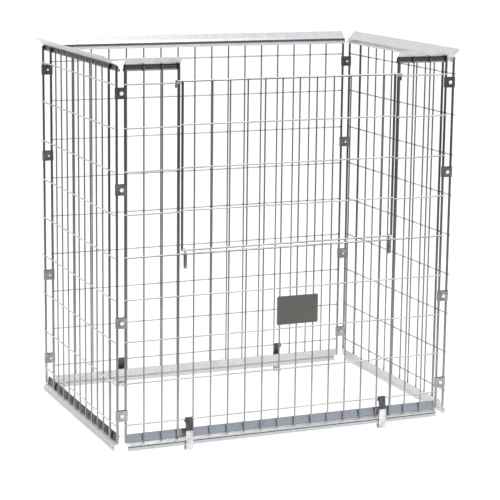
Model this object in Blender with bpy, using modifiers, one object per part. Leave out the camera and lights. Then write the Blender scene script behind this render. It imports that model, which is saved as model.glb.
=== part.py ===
"""Wire mesh collar with a lift-and-drop gate, built as separate steel pieces.

Units are metres and +Z is up. X runs along the long side, and the front with the gate faces -Y.
Z = 0 is the underside of the hold-down clamps, which reach below the plane that the collar sits on.
Every wall is drawn as if it faced -Y and is then turned into place, so "outward" means -Y there.
"""
import math

import bmesh
import bpy
from mathutils import Matrix, Vector

# Footprint that the collar is made for
FOOTPRINT_LENGTH = 1.200
FOOTPRINT_DEPTH = 0.800
EDGE_INSET = 0.006            # from the footprint's edge in to the corner posts' axes
CORNER_SPACING = 0.028        # between the two posts of a corner, along X

# Wire and sheet
WIRE_DIAMETER = 0.005
BAR_DIAMETER = 0.006          # hinge bar of the front and the gate's two end bars
POST_DIAMETER = 0.008
WELD_DEPTH = 0.0004           # how far crossing wires sink into each other
SHEET = 0.0015
CLEARANCE = 0.0003            # between neighbouring pieces
WIRE_SIDES = 8

# Mesh levels, counted from the lowest wire
LEVEL_COUNT = 9
LEVEL_PITCH = 0.137
LOW_LEVEL_ABOVE_SEAT = 0.068
HINGE_LEVELS = 4              # levels below the hinge bar
POST_ABOVE_TOP_LEVEL = 0.0565
WIRE_OVERHANG = 0.0045        # of a level wire past the axis of its end post
WIRE_STUB = 0.0035            # of an upright past the axis of the last bar it is welded to

# Upright wires
BACK_WIRES = 16
BACK_LEFT_GAP = 0.083
BACK_RIGHT_GAP = 0.069
SIDE_WIRES = 9
SIDE_FRONT_GAP = 0.074        # from a side's front post to its second thick upright
SIDE_BACK_GAP = 0.091
COLUMN_WIDTH = 0.179          # from a front post to the inner post beside the gate
COLUMN_WIRES = 2
COLUMN_PITCH = 0.0615
FRONT_WIRES = 12
FRONT_END_GAP = 0.0526        # from the inner post to the first thin upright

# Gate
GATE_SIDE_GAP = 0.004
GATE_END_GAP = 0.002          # between the ends of the gate's wires and the columns' wires
GATE_BAR_ABOVE_HINGE = 0.013
GATE_WIRE_LIFT = 0.005        # of the gate's inner wires above the columns' wires
HOOK_DROP = 0.0218
HOOK_PAST_POST = 0.003
HOOK_WIRE_GAP = 0.0011

# Hinge loops of the gate
LOOP_WIDTH = 0.008
LOOP_STRIP = 0.002
LOOP_LENGTH = 0.066
LOOP_GAP = 0.0007             # to the gate's side bar
LOOP_NECK = 0.0022            # half the width between the eye and the slot
LOOP_TIP = 0.0035             # how far the lower end narrows on each side

# Base rails, folded from sheet, measured outward from the posts and up from the seat plane
UPSTAND_LEAN = 0.003
UPSTAND_TOP = 0.033
UPSTAND_BEND = 0.017
UPSTAND_FOOT = 0.006
SLOPE_END = -0.001
NOSE_REACH = 0.013
NOSE_DROP = 0.0035
LIP_SETBACK = 0.0025
LIP_DROP = 0.018
BASE_RAIL_SHORT = 0.004       # of a base rail's end from the axis of its end post

# Top rails, measured from the posts' axes and from the upper ends of the uprights
FOLD_RISE = 0.0005
SHOULDER_REACH = 0.005
SHOULDER_RISE = 0.0085
FLARE_REACH = 0.021
FLARE_RISE = 0.0265
GUTTER_DEPTH = 0.005
GUTTER_DROP = 0.01575
GUTTER_LIP = 0.00825
TOP_RAIL_OVERHANG = 0.004
INNER_END_PAST_POST = 0.005
LEFT_FLARE_CUT = 0.052

# Corner clips and their bolts
CLIP_HEIGHT = 0.035
CLIP_STRIP = 0.002
CLIP_CLEARANCE = 0.0004
CLIP_SLIT = 0.0035            # half the opening between the strip's two ends
CLIP_PLACES = ((8, -0.027), (5, 0.081), (2, 0.063), (0, 0.031))
BOLT_DIAMETER = 0.0044
BOLT_HEAD_DIAMETER = 0.0092
BOLT_HEAD_HEIGHT = 0.003
NUT_HEIGHT = 0.0034
BOLT_SIDES = 6
HOLE_SIDES = 8

# Hold-down clamps
CLAMP_REACH = 0.036           # of the clamps below the seat plane
CLAMP_WIDTH = 0.025
CLAMP_STRIP = 0.0025
CLAMP_SIDE_GAP = 0.0026       # to the upright beside it
BACK_CLAMP_WIRES = 3          # thin uprights past the one that a back clamp sits beside
CLAMP_KNEE = 0.030            # height of the clamps' bend above the seat plane
CLAMP_TAIL = 0.012
CLAMP_NOSE_GAP = 0.0015
CLAMP_TOE = 0.0145
CLAMP_TOE_RISE = 0.0125
CLAMP_BEND = 0.00275

# Bare sign plate
PLATE_WIDTH = 0.149
PLATE_HEIGHT = 0.097
PLATE_CENTRE_X = 0.0325
PLATE_LEVELS = 2              # levels below the one that the plate sits above
PLATE_ABOVE_LEVEL = 0.012
PLATE_CORNER = 0.006
CORNER_STEPS = 3

PIVOT_MARK_SIZE = 0.03
COLLECTION_NAME = "wire_mesh_collar"
CUTTER_COLLECTION_NAME = "cutters"

# Sizes that follow from the ones above
WIRE_RADIUS = WIRE_DIAMETER / 2
BAR_RADIUS = BAR_DIAMETER / 2
POST_RADIUS = POST_DIAMETER / 2
SIDE_X = FOOTPRINT_LENGTH / 2 - EDGE_INSET
WALL_Y = FOOTPRINT_DEPTH / 2 - EDGE_INSET
POST_X = SIDE_X - CORNER_SPACING
INNER_POST_X = POST_X - COLUMN_WIDTH
SEAT_Z = CLAMP_REACH
LOW_Z = SEAT_Z + LOW_LEVEL_ABOVE_SEAT
LEVELS = [LOW_Z + LEVEL_PITCH * step for step in range(LEVEL_COUNT)]
TOP_Z = LEVELS[-1]
HINGE_Z = LEVELS[HINGE_LEVELS]
POST_TOP = TOP_Z + POST_ABOVE_TOP_LEVEL
THIN_OUT = POST_RADIUS - WIRE_RADIUS
LEVEL_OUT = POST_RADIUS + WIRE_RADIUS - WELD_DEPTH
BAR_OUT = POST_RADIUS + BAR_RADIUS - WELD_DEPTH
WEB_OUT = -(POST_RADIUS + CLEARANCE + SHEET / 2)
GATE_SIDE_X = INNER_POST_X - GATE_SIDE_GAP - POST_DIAMETER
GATE_SHIFT = WELD_DEPTH + CLEARANCE
GATE_BAR_Y = -(WALL_Y + BAR_OUT + GATE_SHIFT)
GATE_WIRE_END = GATE_SIDE_X + POST_RADIUS
COLUMN_WIRE_END = GATE_WIRE_END + GATE_END_GAP
GATE_BAR_Z = HINGE_Z + GATE_BAR_ABOVE_HINGE
GATE_TOP_Z = TOP_Z + WIRE_RADIUS + CLEARANCE + BAR_RADIUS
HOOK_X = INNER_POST_X + POST_RADIUS + HOOK_PAST_POST + BAR_RADIUS
HOOK_OUT = LEVEL_OUT - WIRE_RADIUS - HOOK_WIRE_GAP - BAR_RADIUS - GATE_SHIFT
CLIP_HALF = POST_RADIUS + CLIP_CLEARANCE + CLIP_STRIP / 2
OCTAGON = math.cos(math.pi / 8)
SHARP_ANGLE = math.radians(50)
SHEET_ALONG_X = Matrix(((0, 0, 1, 0), (1, 0, 0, 0), (0, 1, 0, 0), (0, 0, 0, 1)))
SHEET_ALONG_Y = Matrix(((1, 0, 0, 0), (0, 0, -1, 0), (0, 1, 0, 0), (0, 0, 0, 1)))


def new_collection(name):
    collection = bpy.data.collections.new(name)
    bpy.context.scene.collection.children.link(collection)
    return collection


def clear_scene():
    for item in list(bpy.data.objects):
        bpy.data.objects.remove(item, do_unlink=True)


def new_material(name, colour, metallic, roughness):
    material = bpy.data.materials.new(name)
    material.use_nodes = True
    surface = material.node_tree.nodes["Principled BSDF"]
    surface.inputs["Base Color"].default_value = (*colour, 1.0)
    surface.inputs["Metallic"].default_value = metallic
    surface.inputs["Roughness"].default_value = roughness
    material.diffuse_color = (*colour, 1.0)
    return material


def new_object(name, mesh, collection):
    item = bpy.data.objects.new(name, mesh)
    collection.objects.link(item)
    return item


def mesh_from(bm, name):
    mesh = bpy.data.meshes.new(name)
    bm.to_mesh(mesh)
    bm.free()
    return mesh


def evaluated_mesh(item, name):
    """Return the item's shape with its modifiers as a new mesh, with loose seams welded."""
    bpy.context.view_layer.update()
    graph = bpy.context.evaluated_depsgraph_get()
    mesh = bpy.data.meshes.new_from_object(item.evaluated_get(graph))
    mesh.name = name
    bm = bmesh.new()
    bm.from_mesh(mesh)
    bmesh.ops.remove_doubles(bm, verts=bm.verts, dist=0.000005)
    bm.to_mesh(mesh)
    bm.free()
    return mesh


def shade_round(mesh):
    mesh.shade_smooth()
    mesh.set_sharp_from_angle(angle=SHARP_ANGLE)


def spread(first, last, count):
    """Return count places from first to last, evenly spaced."""
    step = (last - first) / (count - 1)
    return [first + step * number for number in range(count)]


def inside(first, last, count):
    """Return count places evenly spaced between first and last, without the ends."""
    return spread(first, last, count + 2)[1:-1]


def ring(centre, radius, sides, first=0.5):
    """Return the corners of a regular outline. first is the first corner's place in steps."""
    step = math.tau / sides
    return [
        (centre[0] + radius * math.cos(step * (number + first)),
         centre[1] + radius * math.sin(step * (number + first)))
        for number in range(sides)
    ]


class Pivot:
    """An empty that stands on a joint's axis and carries the pieces that turn with it."""

    def __init__(self, name, place, parent=None):
        self.place = Vector(place)
        self.item = bpy.data.objects.new(name, None)
        self.item.empty_display_size = PIVOT_MARK_SIZE
        parts.objects.link(self.item)
        origin = Vector((0, 0, 0))
        if parent:
            self.item.parent = parent.item
            origin = parent.place
        self.item.location = self.place - origin

    def carry(self, item, place, turn=0.0):
        item.parent = self.item
        item.location = Vector(place) - self.place
        item.rotation_euler = (0, 0, turn)


def add_rod(bm, start, end, radius):
    """Add a prism from start to end, with two of its ridges facing -Y and +Y."""
    run = Vector(end) - Vector(start)
    turn = Vector((0, 0, 1)).rotation_difference(run).to_matrix().to_4x4()
    middle = Matrix.Translation((Vector(start) + Vector(end)) / 2)
    bmesh.ops.create_cone(
        bm, cap_ends=True, segments=WIRE_SIDES, radius1=radius, radius2=radius,
        depth=run.length, matrix=middle @ turn,
    )


def foot_height(out):
    """Return where an upright ends just above the base rail's slope. out is its inner side."""
    slope = (SLOPE_END - UPSTAND_FOOT) / (NOSE_REACH - WEB_OUT)
    middle = UPSTAND_FOOT + slope * (out - WEB_OUT)
    half_sheet = SHEET / 2 / math.cos(math.atan(slope))
    return SEAT_Z + middle + half_sheet + CLEARANCE


def add_upright(bm, x, low, high, thick=False):
    """Add an upright. Thick and thin ones share the outward plane that the level wires touch."""
    if thick:
        add_rod(bm, (x, 0, low), (x, 0, high), POST_RADIUS)
    else:
        add_rod(bm, (x, -THIN_OUT, low), (x, -THIN_OUT, high), WIRE_RADIUS)


def add_standing(bm, x, high, thick=False):
    """Add an upright that stands in the base rail."""
    inner_side = -POST_RADIUS if thick else THIN_OUT - WIRE_RADIUS
    add_upright(bm, x, foot_height(inner_side), high, thick)


def add_level(bm, left, right, z):
    add_rod(bm, (left, -LEVEL_OUT, z), (right, -LEVEL_OUT, z), WIRE_RADIUS)


def add_bar(bm, left, right, z):
    add_rod(bm, (left, -BAR_OUT, z), (right, -BAR_OUT, z), BAR_RADIUS)


def welded(name, base, *additions):
    """Join wire layers into one welded mesh. Rods within one layer don't touch each other."""
    item = new_object(name, mesh_from(base, name), parts)
    tools = []
    for number, layer in enumerate(additions):
        tool = new_object(f"{name}_layer_{number}", mesh_from(layer, name), cutters)
        union = item.modifiers.new(f"Weld {number}", "BOOLEAN")
        union.operation = "UNION"
        union.object = tool
        tools.append(tool)
    joined = evaluated_mesh(item, name)
    for tool in tools:
        bpy.data.objects.remove(tool, do_unlink=True)
    item.modifiers.clear()
    item.data = joined
    shade_round(joined)
    joined.materials.append(wire_steel)
    return item


def wall_mesh(name, thick, thin, half_width):
    """Make a plain wall: full-height uprights with level wires welded on their outward side."""
    uprights = bmesh.new()
    for x in thick:
        add_standing(uprights, x, POST_TOP, thick=True)
    for x in thin:
        add_standing(uprights, x, POST_TOP)
    levels = bmesh.new()
    end = half_width + WIRE_OVERHANG
    for z in LEVELS:
        add_level(levels, -end, end, z)
    return welded(name, uprights, levels)


def side_mesh(name, front_is_left):
    """Make a side wall. Seen from outside, its front end is on the left or on the right."""
    gaps = (SIDE_FRONT_GAP, SIDE_BACK_GAP) if front_is_left else (SIDE_BACK_GAP, SIDE_FRONT_GAP)
    left = -WALL_Y + gaps[0]
    right = WALL_Y - gaps[1]
    thin = inside(left, right, SIDE_WIRES)
    return wall_mesh(name, [-WALL_Y, left, right, WALL_Y], thin, WALL_Y)


def back_wires():
    """Return the back's thin uprights as seen from behind, where the left end is on the right."""
    return spread(-POST_X + BACK_RIGHT_GAP, POST_X - BACK_LEFT_GAP, BACK_WIRES)


def back_mesh():
    return wall_mesh("back_mesh", [-POST_X, POST_X], back_wires(), POST_X)


def column_wires():
    return [POST_X - COLUMN_PITCH * (number + 1) for number in range(COLUMN_WIRES)]


def gate_wires():
    first = INNER_POST_X - FRONT_END_GAP
    return spread(-first, first, FRONT_WIRES)


def front_mesh():
    """Lower half with a full-height column at each end, and the hinge bar across at mid height."""
    uprights = bmesh.new()
    levels = bmesh.new()
    for side in (-1, 1):
        for x in (POST_X, INNER_POST_X):
            add_standing(uprights, side * x, POST_TOP, thick=True)
        for x in column_wires():
            add_standing(uprights, side * x, POST_TOP)
        ends = sorted((side * (POST_X + WIRE_OVERHANG), side * COLUMN_WIRE_END))
        for z in LEVELS[HINGE_LEVELS + 1:]:
            add_level(levels, ends[0], ends[1], z)
    for x in gate_wires():
        add_standing(uprights, x, HINGE_Z + WIRE_STUB)
    end = POST_X + WIRE_OVERHANG
    for z in LEVELS[:HINGE_LEVELS]:
        add_level(levels, -end, end, z)
    add_bar(levels, -end, end, HINGE_Z)
    return welded("front_mesh", uprights, levels)


def gate_mesh():
    """Gate of two side bars, wires and end bars, whose top bar ends in two hooks."""
    uprights = bmesh.new()
    for x in (-GATE_SIDE_X, GATE_SIDE_X):
        add_upright(uprights, x, GATE_BAR_Z - WIRE_STUB, GATE_TOP_Z + WIRE_STUB, thick=True)
    for x in gate_wires():
        add_upright(uprights, x, GATE_BAR_Z - WIRE_STUB, GATE_TOP_Z + WIRE_STUB)
    levels = bmesh.new()
    for z in LEVELS[HINGE_LEVELS + 1:-1]:
        add_level(levels, -GATE_WIRE_END, GATE_WIRE_END, z + GATE_WIRE_LIFT)
    add_bar(levels, -GATE_WIRE_END, GATE_WIRE_END, GATE_BAR_Z)
    add_bar(levels, -HOOK_X, HOOK_X, GATE_TOP_Z)
    turns = bmesh.new()
    legs = bmesh.new()
    for x in (-HOOK_X, HOOK_X):
        bar_end = (x, -BAR_OUT - BAR_RADIUS, GATE_TOP_Z)
        add_rod(turns, bar_end, (x, -HOOK_OUT, GATE_TOP_Z), BAR_RADIUS)
        leg_low = (x, -HOOK_OUT, GATE_TOP_Z - HOOK_DROP)
        add_rod(legs, leg_low, (x, -HOOK_OUT, GATE_TOP_Z + BAR_RADIUS), BAR_RADIUS)
    return welded("gate_mesh", uprights, levels, turns, legs)


def folded_strip(profile, start, end, flare_cut=0.0):
    """Sweep a profile of (outward, up) points along X, as the middle of a folded sheet.

    flare_cut draws the far end back in step with how far outward each point lies.
    """
    bm = bmesh.new()
    corners = [bm.verts.new((start, -out, up)) for out, up in profile]
    edges = [bm.edges.new(pair) for pair in zip(corners, corners[1:])]
    grown = bmesh.ops.extrude_edge_only(bm, edges=edges)["geom"]
    far = [vert for vert in grown if isinstance(vert, bmesh.types.BMVert)]
    reach = max(out for out, up in profile) - WEB_OUT
    for vert in far:
        share = max(0.0, -vert.co.y - WEB_OUT) / reach
        vert.co.x = end - flare_cut * share
    bmesh.ops.recalc_face_normals(bm, faces=bm.faces)
    return bm


def folded_sheet(name, strip, thickness, material, collection):
    item = new_object(name, mesh_from(strip, name), collection)
    wall = item.modifiers.new("Sheet", "SOLIDIFY")
    wall.thickness = thickness
    wall.offset = 0.0
    wall.use_even_offset = True
    item.data.materials.append(material)
    return item


def rail(name, profile, start, end, flare_cut=0.0):
    strip = folded_strip(profile, start, end, flare_cut)
    return folded_sheet(name, strip, SHEET, sheet_steel, parts)


def base_profile():
    """Upstand behind the wires, slope down to the seat, nose past its edge and lip outside it."""
    nose_z = SEAT_Z + SLOPE_END - NOSE_DROP
    return [
        (WEB_OUT - UPSTAND_LEAN, SEAT_Z + UPSTAND_TOP),
        (WEB_OUT, SEAT_Z + UPSTAND_BEND),
        (WEB_OUT, SEAT_Z + UPSTAND_FOOT),
        (NOSE_REACH, SEAT_Z + SLOPE_END),
        (NOSE_REACH, nose_z),
        (NOSE_REACH - LIP_SETBACK, nose_z),
        (NOSE_REACH - LIP_SETBACK, SEAT_Z - LIP_DROP),
    ]


def top_profile():
    """Gutter and web behind the wires, a shoulder over their ends and a flare for stacking."""
    return [
        (WEB_OUT - GUTTER_DEPTH, POST_TOP - GUTTER_DROP + GUTTER_LIP),
        (WEB_OUT - GUTTER_DEPTH, POST_TOP - GUTTER_DROP),
        (WEB_OUT, POST_TOP - GUTTER_DROP),
        (WEB_OUT, POST_TOP + FOLD_RISE),
        (SHOULDER_REACH, POST_TOP + SHOULDER_RISE),
        (FLARE_REACH, POST_TOP + FLARE_RISE),
    ]


def outline_mesh(name, outlines, thickness, axes):
    """Fill a flat outline with its holes, thicken it and turn its plane to the given axes."""
    curve = bpy.data.curves.new(name, "CURVE")
    curve.dimensions = "2D"
    curve.fill_mode = "BOTH"
    curve.extrude = thickness / 2
    for points in outlines:
        spline = curve.splines.new("POLY")
        spline.points.add(len(points) - 1)
        for place, (across, up) in zip(spline.points, points):
            place.co = (across, up, 0, 1)
        spline.use_cyclic_u = True
    item = new_object(name, curve, cutters)
    mesh = evaluated_mesh(item, name)
    bpy.data.objects.remove(item, do_unlink=True)
    mesh.transform(axes)
    return mesh


def clip_strip():
    """Strip folded round the right-hand post and back past the left-hand one, with a slit there."""
    corner = CLIP_HALF / OCTAGON
    post = CORNER_SPACING / 2
    fold = ring((post, 0), corner, HOLE_SIDES)
    bend = ring((-post, 0), corner, HOLE_SIDES)
    slit = (-post - CLIP_HALF, CLIP_SLIT)
    upper = [slit, bend[2], bend[1]]
    lower = [(x, -y) for x, y in reversed(upper)]
    path = upper + [fold[2], fold[1], fold[0], fold[7], fold[6], fold[5]] + lower
    bm = bmesh.new()
    low = [bm.verts.new((x, y, -CLIP_HEIGHT / 2)) for x, y in path]
    edges = [bm.edges.new(pair) for pair in zip(low, low[1:])]
    grown = bmesh.ops.extrude_edge_only(bm, edges=edges)["geom"]
    top = [vert for vert in grown if isinstance(vert, bmesh.types.BMVert)]
    bmesh.ops.translate(bm, verts=top, vec=(0, 0, CLIP_HEIGHT))
    bmesh.ops.recalc_face_normals(bm, faces=bm.faces)
    return bm


def clip_mesh():
    """Corner clip with a bolt hole through both of its plates."""
    clip = folded_sheet("clip_blank", clip_strip(), CLIP_STRIP, clip_steel, cutters)
    drill = bmesh.new()
    hole = (BOLT_DIAMETER / 2 + CLEARANCE) / OCTAGON
    add_rod(drill, (0, -CLIP_HALF * 2, 0), (0, CLIP_HALF * 2, 0), hole)
    tool = new_object("bolt_hole", mesh_from(drill, "bolt_hole"), cutters)
    cut = clip.modifiers.new("Bolt hole", "BOOLEAN")
    cut.operation = "DIFFERENCE"
    cut.object = tool
    drilled = evaluated_mesh(clip, "corner_clip")
    bpy.data.objects.remove(clip, do_unlink=True)
    bpy.data.objects.remove(tool, do_unlink=True)
    return drilled


def bolt_mesh():
    """Bolt with its nut, turned about Z and then laid along Y with its head outward."""
    grip = CLIP_HALF + CLIP_STRIP / 2 + CLEARANCE
    profile = [
        (0, grip + BOLT_HEAD_HEIGHT),
        (BOLT_HEAD_DIAMETER / 2, grip + BOLT_HEAD_HEIGHT),
        (BOLT_HEAD_DIAMETER / 2, grip),
        (BOLT_DIAMETER / 2, grip),
        (BOLT_DIAMETER / 2, -grip),
        (BOLT_HEAD_DIAMETER / 2, -grip),
        (BOLT_HEAD_DIAMETER / 2, -grip - NUT_HEIGHT),
        (0, -grip - NUT_HEIGHT),
    ]
    bm = bmesh.new()
    corners = [bm.verts.new((x, 0, z)) for x, z in profile]
    for pair in zip(corners, corners[1:]):
        bm.edges.new(pair)
    item = new_object("bolt_blank", mesh_from(bm, "bolt"), cutters)
    turned = item.modifiers.new("Turned", "SCREW")
    turned.steps = BOLT_SIDES
    turned.render_steps = BOLT_SIDES
    turned.use_merge_vertices = True
    turned.merge_threshold = 0.0001
    mesh = evaluated_mesh(item, "corner_bolt")
    bpy.data.objects.remove(item, do_unlink=True)
    mesh.transform(Matrix.Rotation(math.pi / 2, 4, "X"))
    mesh.materials.append(bolt_steel)
    return mesh


def loop_mesh():
    """Hinge loop: an eye on the gate's bar and a long slot below it that rides the hinge bar."""
    bore = (BAR_RADIUS + CLEARANCE) / OCTAGON
    wrap = (BAR_RADIUS + CLEARANCE + LOOP_STRIP) / OCTAGON
    slot_half = BAR_RADIUS + CLEARANCE + GATE_SHIFT
    half = slot_half + LOOP_STRIP
    eye = (0, GATE_BAR_Z)
    rest_z = HINGE_Z + BAR_RADIUS + CLEARANCE
    neck_z = (rest_z + GATE_BAR_Z - bore) / 2
    low_z = GATE_BAR_Z + BAR_RADIUS + CLEARANCE + LOOP_STRIP - LOOP_LENGTH
    shoulder_z = HINGE_Z
    taper_z = low_z + LOOP_TIP * 2
    head = ring(eye, wrap, HOLE_SIDES)
    right = sorted([p for p in head if p[0] > 0], key=lambda p: p[1])
    side = [(LOOP_TIP / 2, low_z), (LOOP_TIP, low_z + LOOP_TIP / 2), (half, taper_z + LOOP_TIP)]
    side += [(half, shoulder_z), (LOOP_NECK, neck_z)] + right
    outer = side + [(-x, z) for x, z in reversed(side)]
    tip = LOOP_TIP / 2
    slot = [
        (tip, low_z + LOOP_STRIP), (slot_half, taper_z + LOOP_TIP), (slot_half, rest_z - tip),
        (tip, rest_z), (-tip, rest_z), (-slot_half, rest_z - tip),
        (-slot_half, taper_z + LOOP_TIP), (-tip, low_z + LOOP_STRIP),
    ]
    holes = [ring(eye, bore, HOLE_SIDES), slot]
    mesh = outline_mesh("hinge_loop", [outer] + holes, LOOP_WIDTH, SHEET_ALONG_X)
    mesh.materials.append(sheet_steel)
    return mesh


def clamp_profile():
    """Clamp from its tail over the lowest wire, out past the rail's nose and in below the seat."""
    bend = (WIRE_RADIUS + CLEARANCE + CLAMP_STRIP / 2) / OCTAGON
    nose = NOSE_REACH + SHEET / 2 + CLAMP_NOSE_GAP + CLAMP_STRIP / 2 - LEVEL_OUT
    floor = CLAMP_STRIP / 2 - LOW_Z
    over = ring((0, 0), bend, HOLE_SIDES, 0)[4::-1]
    return [(-bend, -CLAMP_TAIL)] + over + [
        (nose, SEAT_Z + CLAMP_KNEE - LOW_Z),
        (nose, floor + CLAMP_BEND),
        (nose - CLAMP_BEND, floor),
        (nose - CLAMP_TOE + CLAMP_BEND, floor),
        (nose - CLAMP_TOE, floor + CLAMP_BEND),
        (nose - CLAMP_TOE, floor + CLAMP_TOE_RISE),
    ]


def clamp(name):
    """Clamp with its origin on the axis of the wire that it swings on."""
    strip = folded_strip(clamp_profile(), -CLAMP_WIDTH / 2, CLAMP_WIDTH / 2)
    return folded_sheet(name, strip, CLAMP_STRIP, clip_steel, parts)


def plate_mesh():
    """Bare plate with round corners, on the outward side of the uprights."""
    inner_x = PLATE_WIDTH / 2 - PLATE_CORNER
    inner_z = PLATE_HEIGHT / 2 - PLATE_CORNER
    outline = []
    for quarter, (sx, sz) in enumerate(((1, 1), (-1, 1), (-1, -1), (1, -1))):
        for step in range(CORNER_STEPS):
            angle = math.pi / 2 * (quarter + step / (CORNER_STEPS - 1))
            outline.append((sx * inner_x + PLATE_CORNER * math.cos(angle),
                            sz * inner_z + PLATE_CORNER * math.sin(angle)))
    mesh = outline_mesh("sign_plate", [outline], SHEET, SHEET_ALONG_Y)
    mesh.materials.append(plate_steel)
    return mesh


def build_walls(back, left, front, right):
    """Place the four walls' welded meshes with their base and top rails."""
    front_place = Vector((0, -WALL_Y, 0))
    back_place = Vector((0, WALL_Y, 0))
    left_place = Vector((-SIDE_X, 0, 0))
    right_place = Vector((SIDE_X, 0, 0))
    quarter = math.pi / 2
    base = base_profile()
    top = top_profile()

    base_end = POST_X - BASE_RAIL_SHORT
    top_end = POST_X + TOP_RAIL_OVERHANG
    back.carry(back_mesh(), back_place, math.pi)
    back.carry(rail("back_base_rail", base, -base_end, base_end), back_place, math.pi)
    back.carry(rail("back_top_rail", top, -top_end, top_end), back_place, math.pi)

    inner_end = INNER_POST_X - INNER_END_PAST_POST
    front.carry(front_mesh(), front_place)
    front.carry(rail("front_base_rail", base, -base_end, base_end), front_place)
    front.carry(rail("front_left_top_rail", top, -top_end, -inner_end), front_place)
    front.carry(rail("front_right_top_rail", top, inner_end, top_end), front_place)

    base_end = WALL_Y - BASE_RAIL_SHORT
    top_end = WALL_Y + TOP_RAIL_OVERHANG
    left.carry(side_mesh("left_mesh", False), left_place, -quarter)
    left.carry(rail("left_base_rail", base, -base_end, base_end), left_place, -quarter)
    left_top = rail("left_top_rail", top, -top_end, top_end, LEFT_FLARE_CUT)
    left.carry(left_top, left_place, -quarter)

    right.carry(side_mesh("right_mesh", True), right_place, quarter)
    right.carry(rail("right_base_rail", base, -base_end, base_end), right_place, quarter)
    right.carry(rail("right_top_rail", top, -top_end, top_end), right_place, quarter)


def build_gate(lift, swing):
    """Hang the gate a little further out than the front, so that its top bar passes the posts."""
    swing.carry(gate_mesh(), (0, -WALL_Y - GATE_SHIFT, 0))
    shape = loop_mesh()
    loop_x = GATE_SIDE_X - POST_RADIUS - LOOP_GAP - LOOP_WIDTH / 2
    for name, side in (("left", -1), ("right", 1)):
        loop = new_object(f"gate_loop_{name}", shape, parts)
        lift.carry(loop, (side * loop_x, GATE_BAR_Y, 0))


def build_clamps(back, front):
    """Hang each clamp on the lowest wire, beside an upright and on its side away from the middle."""
    beside = WIRE_RADIUS + CLAMP_SIDE_GAP + CLAMP_WIDTH / 2
    front_x = gate_wires()[-1] + beside
    right_x = -back_wires()[BACK_CLAMP_WIRES] + beside
    left_x = back_wires()[-1 - BACK_CLAMP_WIRES] + beside
    axis_y = WALL_Y + LEVEL_OUT
    for name, x in (("left", -front_x), ("right", front_x)):
        pivot = Pivot(f"front_{name}_clamp_pivot", (x, -axis_y, LOW_Z), front)
        pivot.carry(clamp(f"front_{name}_clamp"), pivot.place)
    for name, x in (("left", -left_x), ("right", right_x)):
        pivot = Pivot(f"back_{name}_clamp_pivot", (x, axis_y, LOW_Z), back)
        pivot.carry(clamp(f"back_{name}_clamp"), pivot.place, math.pi)


def build_clips(corners):
    """Fit each corner's clips. Their closed fold holds the post of the wall that they turn with."""
    clip_shape = clip_mesh()
    bolt_shape = bolt_mesh()
    for name, pivot, side_x, side_y in corners:
        centre_x = side_x * (SIDE_X - CORNER_SPACING / 2)
        turn = 0.0 if side_y < 0 else math.pi
        for number, (level, above) in enumerate(CLIP_PLACES, 1):
            place = (centre_x, side_y * WALL_Y, LEVELS[level] + above)
            clip = new_object(f"clip_{name}_{number}", clip_shape, parts)
            pivot.carry(clip, place, turn)
            bolt = new_object(f"bolt_{name}_{number}", bolt_shape, parts)
            pivot.carry(bolt, place, turn)


def build_plate(front):
    plate = new_object("sign_plate", plate_mesh(), parts)
    out = POST_RADIUS + CLEARANCE + SHEET / 2
    centre_z = LEVELS[PLATE_LEVELS] + PLATE_ABOVE_LEVEL + PLATE_HEIGHT / 2
    front.carry(plate, (PLATE_CENTRE_X, -WALL_Y - out, centre_z))


clear_scene()
parts = new_collection(COLLECTION_NAME)
cutters = new_collection(CUTTER_COLLECTION_NAME)
wire_steel = new_material("galvanised wire", (0.56, 0.57, 0.58), 0.85, 0.38)
sheet_steel = new_material("galvanised sheet", (0.66, 0.70, 0.73), 0.80, 0.34)
clip_steel = new_material("zinc strip", (0.60, 0.61, 0.59), 0.85, 0.42)
bolt_steel = new_material("zinc bolt", (0.70, 0.70, 0.68), 0.90, 0.30)
plate_steel = new_material("bare plate", (0.14, 0.15, 0.13), 0.30, 0.50)

back_frame = Pivot("back_frame", (0, WALL_Y, 0))
left_fold = Pivot("left_fold_pivot", (-POST_X, WALL_Y, 0), back_frame)
front_fold = Pivot("front_fold_pivot", (-SIDE_X, -WALL_Y, 0), left_fold)
right_fold = Pivot("right_fold_pivot", (SIDE_X, WALL_Y, 0), back_frame)
gate_lift = Pivot("gate_lift_guide", (0, GATE_BAR_Y, HINGE_Z), front_fold)
gate_swing = Pivot("gate_swing_pivot", (0, GATE_BAR_Y, GATE_BAR_Z), gate_lift)

build_walls(back_frame, left_fold, front_fold, right_fold)
build_gate(gate_lift, gate_swing)
build_clamps(back_frame, front_fold)
build_clips((
    ("front_left", front_fold, -1, -1),
    ("front_right", right_fold, 1, -1),
    ("back_left", left_fold, -1, 1),
    ("back_right", back_frame, 1, 1),
))
build_plate(front_fold)
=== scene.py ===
"""Dresses the wire mesh collar: drawn wire, folded sheet, clips, clamps and their finishes.

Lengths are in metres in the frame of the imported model. X runs along the front, -Y faces out of it
and Z is up. Every wall is drawn as if it faced -Y and is then turned into place.
"""

import math

import bmesh
import bpy
from bpy.props import FloatProperty, FloatVectorProperty, PointerProperty
from mathutils import Matrix, Vector


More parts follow.
